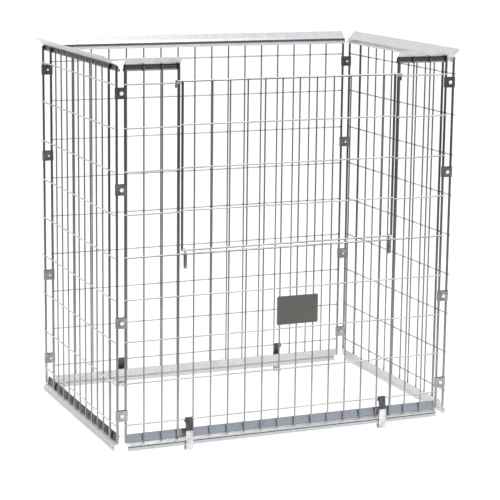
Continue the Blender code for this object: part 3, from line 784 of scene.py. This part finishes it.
class COLLAR_OT_walls(bpy.types.Operator):
    """Draw the welded meshes of the four walls"""

    bl_idname = "collar.walls"
    bl_label = "Walls"

    def execute(self, context):
        sizes = context.scene.collar_sizes
        back_wires = spread(*BACK_ENDS, BACK_COUNT)
        self.plain(sizes, "back", (-POST_X, POST_X), back_wires, POST_X)
        for wall in ("left", "right"):
            second, third = SIDE_THICK[wall]
            thin = spread(second, third, SIDE_COUNT + 2)[1:-1]
            self.plain(sizes, wall, (-WALL_Y, second, third, WALL_Y), thin, WALL_Y)
        self.front(sizes)
        return {"FINISHED"}

    def plain(self, sizes, wall, thick, thin, half_width):
        mesh = Mesh(sizes)
        for x in thick:
            mesh.standing(x, POST_TOP, thick=True)
        for x in thin:
            mesh.standing(x, POST_TOP)
        for z in LEVELS:
            mesh.level(-half_width - OVERHANG, half_width + OVERHANG, z)
        mesh.piece(f"{wall}_wire", wall, f"{wall}_panel", f"{wall}_mesh")

    def front(self, sizes):
        mesh = Mesh(sizes)
        end = POST_X + OVERHANG
        for side in (-1, 1):
            for x in (POST_X, INNER_POST_X):
                mesh.standing(side * x, POST_TOP, thick=True)
            for x in COLUMN_WIRES:
                mesh.standing(side * x, POST_TOP)
            ends = sorted((side * end, side * COLUMN_WIRE_END))
            for z in UPPER_LEVELS:
                mesh.level(*ends, z)
        for x in spread(*GATE_ENDS, GATE_COUNT):
            mesh.standing(x, HINGE_Z + STUB)
        for z in LOWER_LEVELS:
            mesh.level(-end, end, z)
        mesh.level(-end, end, HINGE_Z, sizes.bar)
        mesh.piece("front_wire", "front", "front_panel", "front_mesh")


class COLLAR_OT_gate(bpy.types.Operator):
    """Draw the gate with its two hooked ends"""

    bl_idname = "collar.gate"
    bl_label = "Gate"

    BEND_SHARE = 0.98           # of the largest bend for which two in a row have room

    def execute(self, context):
        sizes = context.scene.collar_sizes
        mesh = Mesh(sizes)
        low, high = GATE_BAR_Z - STUB, GATE_TOP_Z + STUB
        for x in (-GATE_SIDE_X, GATE_SIDE_X):
            mesh.upright(x, low, high, thick=True)
        for x in spread(*GATE_ENDS, GATE_COUNT):
            mesh.upright(x, low, high)
        for z in GATE_LEVELS:
            mesh.level(-GATE_WIRE_END, GATE_WIRE_END, z)
        y = mesh.level(-GATE_WIRE_END, GATE_WIRE_END, GATE_BAR_Z, sizes.bar)
        inner = sizes.post / 2 - sizes.sink - HOOK_GAP - sizes.bar / 2 - GATE_SHIFT
        bend = (-y - inner) / 2
        corners = (
            (-HOOK_X, -inner, HOOK_LOW_Z), (-HOOK_X, -inner, GATE_TOP_Z),
            (-HOOK_X, y, GATE_TOP_Z), (HOOK_X, y, GATE_TOP_Z),
            (HOOK_X, -inner, GATE_TOP_Z), (HOOK_X, -inner, HOOK_LOW_Z),
        )
        made = mesh.bent_bar(corners, sizes.bar / 2, bend * self.BEND_SHARE)
        # Painted shade: the hooked ends, turned in behind the wires, get the dark post colour
        for vert in made:
            hooked = abs(vert.co.x) > HOOK_X - bend and vert.co.y > y
            set_slot([vert], mesh.POST if hooked else mesh.BAR)
        mesh.levels.append((-GATE_WIRE_END, GATE_WIRE_END, GATE_TOP_Z, sizes.bar / 2))
        mesh.piece("gate_wire", "front", "gate", "gate_mesh", GATE_SHIFT)
        return {"FINISHED"}


class COLLAR_OT_loops(bpy.types.Operator):
    """Bend the two loops that hang on the gate and ride the hinge bar"""

    bl_idname = "collar.loops"
    bl_label = "Hinge loops"

    EYE_TURN = -128             # degrees, from the top of the eye down to its neck
    EYE_STEPS = 10
    NECK_GAP = 0.0001           # half the room between the two sides at the neck
    NECK_HALF = 0.0006          # half the neck's height
    SLOT_RISE = 0.0015          # of the slot's widest place above the hinge bar's axis
    TAPER_RISE = 0.0105         # where the sides start to close above the lower end
    TIP_OUT = 0.0022
    TIP_RISE = 0.0012
    FOLD = 0.0009
    FOLD_STEPS = 3
    FOLD_ANGLE = math.radians(15)
    EDGE = 0.0002

    def execute(self, context):
        sizes = context.scene.collar_sizes
        for side in ("left", "right"):
            self.loop(sizes, side)
        return {"FINISHED"}

    def loop(self, sizes, side):
        """Draw one side of the loop from the eye's top to the lower end, and mirror it."""
        low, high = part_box(f"gate_loop_{side}")
        bar = sizes.bar / 2
        half_strip = sizes.strip / 2
        eye_z = high.z - sizes.strip - BAR_GAP - bar
        eye = bar + BAR_GAP + half_strip
        slot = (high.y - low.y) / 2 - half_strip
        neck = half_strip + self.NECK_GAP
        neck_z = (eye_z - eye + HINGE_Z + bar + BAR_GAP) / 2
        tip_z = low.z + half_strip
        path = Path((0, 0, eye_z + eye), ALONG_X)
        path.arc((0, 0, eye_z), self.EYE_TURN, self.EYE_STEPS)
        path.lines(
            (0, neck, neck_z + self.NECK_HALF),
            (0, neck, neck_z - self.NECK_HALF),
            (0, slot, HINGE_Z + self.SLOT_RISE),
            (0, slot, low.z + self.TAPER_RISE),
            (0, self.TIP_OUT, tip_z + self.TIP_RISE),
            (0, 0, tip_z),
        )
        everything = path.bm.verts[:] + path.bm.edges[:]
        bmesh.ops.mirror(path.bm, geom=everything, axis="Y", merge_dist=SAME_POINT)
        bm = path.sweep(high.x - low.x)
        round_folds(bm, self.FOLD, self.FOLD_STEPS, self.FOLD_ANGLE)
        thicken(bm, sizes.strip, self.EDGE)
        # Painted light on the eye above the hinge bar
        for face in bm.faces:
            face.material_index = int(face.calc_center_median().z > HINGE_Z)
        bm.transform(Matrix.Translation(((low.x + high.x) / 2, (low.y + high.y) / 2, 0)))
        finish_piece(
            bm, f"hinge_loop_{side}", "gate_loops", [f"gate_loop_{side}"],
            "galvanised_sheet", "strip", "bright",
        )


class COLLAR_OT_rails(bpy.types.Operator):
    """Fold the base rails and the top rails"""

    bl_idname = "collar.rails"
    bl_label = "Rails"

    RAILS = (
        ("back_base_rail", "back", BASE_PROFILE, 0.0),
        ("front_base_rail", "front", BASE_PROFILE, 0.0),
        ("left_base_rail", "left", BASE_PROFILE, 0.0),
        ("right_base_rail", "right", BASE_PROFILE, 0.0),
        ("back_top_rail", "back", TOP_PROFILE, 0.0),
        ("left_top_rail", "left", TOP_PROFILE, FLARE_CUT),
        ("right_top_rail", "right", TOP_PROFILE, 0.0),
        ("front_left_top_rail", "front", TOP_PROFILE, 0.0),
        ("front_right_top_rail", "front", TOP_PROFILE, 0.0),
    )
    SHEET, SHELTER, UPSTAND, LIP, FOLD, HEM = range(6)
    KEYS = ("sheet", "shelter", "upstand", "lip", "fold", "hem")
    FOLD_STEPS = 4
    FOLD_ANGLE = math.radians(5)
    EDGE = 0.0002
    FACES_OUT = -0.5            # a face looks outward where its normal's Y is below this
    FACES_IN = 0.3              # and inward where it is above this
    UPSTAND_LIMIT = UPSTAND_TOP + 0.001
    STEP_LIMIT = SEAT_Z - 0.0040
    LIP_LIMIT = SEAT_Z - 0.0015

    def execute(self, context):
        sizes = context.scene.collar_sizes
        for node, wall, profile, cut in self.RAILS:
            matrix = wall_matrix(wall)
            corners = [matrix.inverted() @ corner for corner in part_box(node)]
            start, end = sorted(corner.x for corner in corners)
            bm = self.folded(profile, start, end, sizes.fold, cut)
            thicken(bm, sizes.sheet, self.EDGE)
            # Painted shade: only the back top rail gets a dark band inside it
            inner = self.FOLD if wall == "back" else self.SHEET
            # Painted shade on the outward upstands, darkest on the side walls
            upstand = self.UPSTAND if wall in ("front", "back") else self.SHELTER
            self.dull(bm, inner, upstand)
            bm.transform(matrix)
            finish_piece(
                bm, f"folded_{node}", f"{wall}_panel", [node], "galvanised_sheet", *self.KEYS,
            )
        return {"FINISHED"}

    def folded(self, profile, start, end, fold, cut):
        """Sweep a profile of (outward, up) points along X and round its folds.

        A cut slants the far end back, by the full length at the profile's outermost point.
        """
        bm = bmesh.new()
        verts = [bm.verts.new((start, -out, up)) for out, up in profile]
        edges = [bm.edges.new(pair) for pair in zip(verts, verts[1:])]
        grown = bmesh.ops.extrude_edge_only(bm, edges=edges)["geom"]
        reach = max(out for out, up in profile) - WEB_OUT
        for vert in only(grown, bmesh.types.BMVert):
            share = max(0.0, -vert.co.y - WEB_OUT) / reach
            vert.co.x = end - cut * share
        round_folds(bm, fold, self.FOLD_STEPS, self.FOLD_ANGLE)
        return bm

    def dull(self, bm, inner, upstand):
        """Set the faces that get painted shade: a top rail's outward web under the flare, its outward
        hem, the band inside the back top rail, a base rail's outward upstand, the shadow line under its
        nose and its outer lip.
        """
        bm.normal_update()
        for face in bm.faces:
            z = face.calc_center_median().z
            outward = face.normal.y < self.FACES_OUT
            inward = face.normal.y >= self.FACES_IN
            # painted shade on the outward web under the flare
            if HEM_TOP < z < FLARE_SHADE_TOP and outward:
                face.material_index = self.SHELTER
            # painted shade on the outward hem
            elif LOW_Z < z < HEM_TOP and outward:
                face.material_index = self.HEM
            # painted shade on the inner band of the back top rail; plain sheet elsewhere
            elif SHADE_LOW < z < SHADE_TOP:
                face.material_index = inner
            # painted shade on the upstand's outward side; its inward side stays plain sheet
            elif UPSTAND_FOOT < z < self.UPSTAND_LIMIT:
                face.material_index = upstand if outward else self.SHEET
            # painted shadow line under the base rail's nose
            elif STEP_SHADE < z < self.STEP_LIMIT and not inward:
                face.material_index = self.SHELTER
            # painted shade on the outer lip
            elif z < self.LIP_LIMIT and not inward:
                face.material_index = self.LIP


class COLLAR_OT_clips(bpy.types.Operator):
    """Fold the corner clips round their posts and bolt them"""

    bl_idname = "collar.clips"
    bl_label = "Corner clips"

    CORNERS = (
        ("front_left", "front_panel", 0.0),
        ("front_right", "right_panel", 0.0),
        ("back_left", "left_panel", math.pi),
        ("back_right", "back_panel", math.pi),
    )
    COUNT = 4                   # clips at each corner
    SLIT = 0.0035               # half the opening between the strip's two ends
    END_STEPS = 6
    BACK_STEPS = 14
    EDGE = 0.0003
    WASHER_HEIGHT = 0.0009
    THREAD_RADIUS = 0.0022
    THREAD_OUT = 0.0036         # of the thread's end past the clip
    NUT_HEIGHT = 0.0030
    WASHER = (20, 0.0002)       # sides, and the rounding of their rims
    THREAD = (14, 0.0003)
    HEXAGON = (6, 0.0004)
    HEAD_SHARE = 0.43           # of the blank's diameter, out to the head's corners
    NUT_SHARE = 0.46            # and out to the nut's

    def execute(self, context):
        sizes = context.scene.collar_sizes
        for corner, body, turn in self.CORNERS:
            for number in range(1, self.COUNT + 1):
                name = f"{corner}_{number}"
                middle = sum(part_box(f"clip_{name}"), Vector()) / 2
                middle.x = sum(end.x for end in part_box(f"bolt_{name}")) / 2
                place = Matrix.Translation(middle) @ Matrix.Rotation(turn, 4, "Z")
                self.clip(sizes, name, body, place)
                self.bolt(sizes, name, body, place)
        return {"FINISHED"}

    def clip(self, sizes, name, body, place):
        """Bend the strip round both posts, from one end of its opening to the other."""
        half = sizes.post / 2 + POST_GAP + sizes.strip / 2
        post = (SIDE_X - POST_X) / 2
        opening = math.degrees(math.asin(self.SLIT / half))
        open_end = Matrix.Rotation(math.radians(180 - opening), 3, "Z") @ Vector((half, 0, 0))
        path = Path(Vector((-post, 0, 0)) + open_end, ALONG_Z)
        path.arc((-post, 0, 0), opening - 90, self.END_STEPS)
        path.lines((post, half, 0))
        path.arc((post, 0, 0), -180, self.BACK_STEPS)
        path.lines((-post, -half, 0))
        path.arc((-post, 0, 0), opening - 90, self.END_STEPS)
        bm = path.sweep(sizes.clip_height)
        thicken(bm, sizes.strip, self.EDGE)
        bm.transform(place)
        finish_piece(bm, f"folded_clip_{name}", body, [f"clip_{name}"], "zinc_strip", "strip")

    def bolt(self, sizes, name, body, place):
        """Lay a washered hexagon bolt along Y, head outward, with a nut and a thread end inside."""
        low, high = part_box(f"bolt_{name}")
        reach = (high.y - low.y) / 2
        face = sizes.post / 2 + POST_GAP + sizes.strip
        seat = -face - self.WASHER_HEIGHT
        bm = bmesh.new()
        self.turned(bm, seat, -face, sizes.washer / 2, *self.WASHER)
        self.turned(bm, -reach, seat, sizes.bolt * self.HEAD_SHARE, *self.HEXAGON)
        self.turned(bm, -face, face + self.THREAD_OUT, self.THREAD_RADIUS, *self.THREAD)
        self.turned(bm, face, face + self.NUT_HEIGHT, sizes.bolt * self.NUT_SHARE, *self.HEXAGON)
        bm.transform(place)
        finish_piece(bm, f"hex_bolt_{name}", body, [f"bolt_{name}"], "zinc_bolt", "bolt")

    def turned(self, bm, start, end, radius, sides, edge):
        middle = Matrix.Translation((0, (start + end) / 2, 0))
        matrix = middle @ Matrix.Rotation(math.pi / 2, 4, "X")
        cylinder(bm, matrix, end - start, radius, sides, edge)


class COLLAR_OT_clamps(bpy.types.Operator):
    """Bend the hold-down clamps round the lowest wire"""

    bl_idname = "collar.clamps"
    bl_label = "Hold-down clamps"

    TAIL = 0.0120               # of the inner end below the lowest wire's axis
    HOOK_STEPS = 12
    NOSE = 0.0165               # outward from the posts' axes
    KNEE = 0.030                # above the seat plane
    TOE = 0.0145
    TOE_RISE = 0.0125
    FOLD = 0.0026
    FOLD_STEPS = 5
    FOLD_ANGLE = math.radians(20)
    EDGE = 0.0004
    BRIGHT_TOP = 0.0295         # above the seat plane, below which the strip gets painted light

    def execute(self, context):
        sizes = context.scene.collar_sizes
        for wall in ("front", "back"):
            for side in ("left", "right"):
                self.clamp(sizes, wall, side)
        return {"FINISHED"}

    def clamp(self, sizes, wall, side):
        """Bend the strip over the lowest wire, down past the seat plane and in under it."""
        node = f"{wall}_{side}_clamp"
        matrix = wall_matrix(wall)
        low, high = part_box(node)
        centre = matrix.inverted() @ ((low + high) / 2)
        strip = sizes.clamp_strip
        wire_out = sizes.post / 2 + sizes.wire / 2 - sizes.sink
        bend = sizes.wire / 2 + BAR_GAP + strip / 2
        inner = -wire_out + bend
        sole = strip / 2
        path = Path((0, inner, LOW_Z - self.TAIL), ALONG_X)
        path.lines((0, inner, LOW_Z))
        path.arc((0, -wire_out, LOW_Z), 180, self.HOOK_STEPS)
        path.lines(
            (0, -self.NOSE, SEAT_Z + self.KNEE),
            (0, -self.NOSE, sole),
            (0, -self.NOSE + self.TOE, sole),
            (0, -self.NOSE + self.TOE, sole + self.TOE_RISE),
        )
        bm = path.sweep(high.x - low.x)
        round_folds(bm, self.FOLD, self.FOLD_STEPS, self.FOLD_ANGLE)
        thicken(bm, strip, self.EDGE)
        # Painted light on the lower part, below the dark upper half
        for face in bm.faces:
            face.material_index = int(face.calc_center_median().z < SEAT_Z + self.BRIGHT_TOP)
        bm.transform(matrix @ Matrix.Translation((centre.x, 0, 0)))
        body = f"{wall}_{side}_hold_down"
        finish_piece(bm, f"bent_{node}", body, [node], "zinc_strip", "clamp", "bright")


class COLLAR_OT_plate(bpy.types.Operator):
    """Cut the bare plate and round its corners"""

    bl_idname = "collar.plate"
    bl_label = "Bare plate"

    CORNER = 0.006
    CORNER_STEPS = 8
    EDGE = 0.0003
    EDGE_STEPS = 2

    def execute(self, context):
        low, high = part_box("sign_plate")
        size = high - low
        place = Matrix.Translation((low + high) / 2) @ Matrix.Diagonal((*size, 1))
        bm = bmesh.new()
        bmesh.ops.create_cube(bm, size=1.0, matrix=place)
        corners = [
            edge for edge in bm.edges
            if abs(edge.verts[0].co.y - edge.verts[1].co.y) > size.y / 2
        ]
        bevel(bm, corners, self.CORNER, self.CORNER_STEPS)
        bevel(bm, end_rims(bm.edges), self.EDGE, self.EDGE_STEPS)
        finish_piece(
            bm, "bare_sign_plate", "front_panel", ["sign_plate"], "bare_plate", "plate",
        )
        return {"FINISHED"}


class COLLAR_OT_stage(bpy.types.Operator):
    """Set the pale floor, the soft light and the camera"""

    bl_idname = "collar.stage"
    bl_label = "Floor, light and camera"

    EYE = Vector((-2.4039, -5.6955, 1.7940))
    YAW = math.radians(23.138)  # from +Y toward +X
    DOWN = math.radians(11.237)
    ROLL = math.radians(0.671)
    LENS = 130.27
    FAR = 100.0
    LAMPS = (
        ("key", (-3.2, -3.0, 4.6), 3.2, 60.0),
        ("fill", (4.2, -3.4, 2.8), 3.0, 25.0),
        ("top", (0.3, 0.8, 4.6), 2.4, 20.0),
    )
    LAMP_AIM = Vector((0, 0, 0.6))
    WORLD_STRENGTH = 0.62
    FLOOR_HALF = 30.0

    def execute(self, context):
        self.floor()
        self.world(context.scene)
        for name, place, size, power in self.LAMPS:
            self.lamp(name, place, size, power)
        self.camera(context.scene)
        return {"FINISHED"}

    def floor(self):
        bm = bmesh.new()
        bmesh.ops.create_grid(bm, x_segments=1, y_segments=1, size=self.FLOOR_HALF)
        new_object(bm, "floor", ["floor"])

    def world(self, scene):
        """Light softly from all round, and show white wherever it is seen or mirrored."""
        world = bpy.data.worlds.new("studio")
        shade = Shade(world)
        strength = self.WORLD_STRENGTH + shade.seen() * (1.0 - self.WORLD_STRENGTH)
        values = {"Color": (1.0, 1.0, 1.0, 1.0), "Strength": strength}
        light = shade.add("ShaderNodeBackground", None, values)
        shade.add("ShaderNodeOutputWorld", None, {"Surface": light})
        scene.world = world

    def lamp(self, name, place, size, power):
        data = bpy.data.lights.new(name, "AREA")
        data.shape = "DISK"
        data.size = size
        data.energy = power
        lamp = bpy.data.objects.new(name, data)
        lamp.location = place
        aim = self.LAMP_AIM - Vector(place)
        lamp.rotation_euler = aim.to_track_quat("-Z", "Y").to_euler()
        bpy.context.scene.collection.objects.link(lamp)

    def camera(self, scene):
        ahead = Vector((
            math.sin(self.YAW) * math.cos(self.DOWN),
            math.cos(self.YAW) * math.cos(self.DOWN),
            -math.sin(self.DOWN),
        ))
        level = Vector((math.cos(self.YAW), -math.sin(self.YAW), 0))
        upright = level.cross(ahead)
        right = level * math.cos(self.ROLL) + upright * math.sin(self.ROLL)
        above = upright * math.cos(self.ROLL) - level * math.sin(self.ROLL)
        data = bpy.data.cameras.new("camera")
        data.lens = self.LENS
        data.clip_end = self.FAR
        camera = bpy.data.objects.new("camera", data)
        turn = Matrix((right, above, -ahead)).transposed().to_4x4()
        camera.matrix_world = Matrix.Translation(self.EYE) @ turn
        scene.collection.objects.link(camera)
        scene.camera = camera
        scene.view_settings.view_transform = "Standard"


class COLLAR_PT_panel(bpy.types.Panel):
    """Lists the pieces of the collar"""

    bl_idname = "COLLAR_PT_panel"
    bl_label = "Wire mesh collar"
    bl_space_type = "VIEW_3D"
    bl_region_type = "UI"
    bl_category = "Collar"

    def draw(self, context):
        layout = self.layout
        for operator in OPERATORS:
            layout.operator(operator.bl_idname)
        for group in (context.scene.collar_sizes, context.scene.collar_colours):
            box = layout.box()
            for name in group.__annotations__:
                box.prop(group, name)


OPERATORS = (
    COLLAR_OT_finishes,
    COLLAR_OT_walls,
    COLLAR_OT_gate,
    COLLAR_OT_loops,
    COLLAR_OT_rails,
    COLLAR_OT_clips,
    COLLAR_OT_clamps,
    COLLAR_OT_plate,
    COLLAR_OT_stage,
)
CLASSES = (CollarSizes, CollarColours) + OPERATORS + (COLLAR_PT_panel,)


def register():
    for item in CLASSES:
        bpy.utils.register_class(item)
    bpy.types.Scene.collar_sizes = PointerProperty(type=CollarSizes)
    bpy.types.Scene.collar_colours = PointerProperty(type=CollarColours)


def unregister():
    del bpy.types.Scene.collar_colours
    del bpy.types.Scene.collar_sizes
    for item in reversed(CLASSES):
        bpy.utils.unregister_class(item)


def main():
    register()
    bpy.ops.collar.finishes()
    bpy.ops.collar.walls()
    bpy.ops.collar.gate()
    bpy.ops.collar.loops()
    bpy.ops.collar.rails()
    bpy.ops.collar.clips()
    bpy.ops.collar.clamps()
    bpy.ops.collar.plate()
    bpy.ops.collar.stage()


if __name__ == "__main__":
    main()
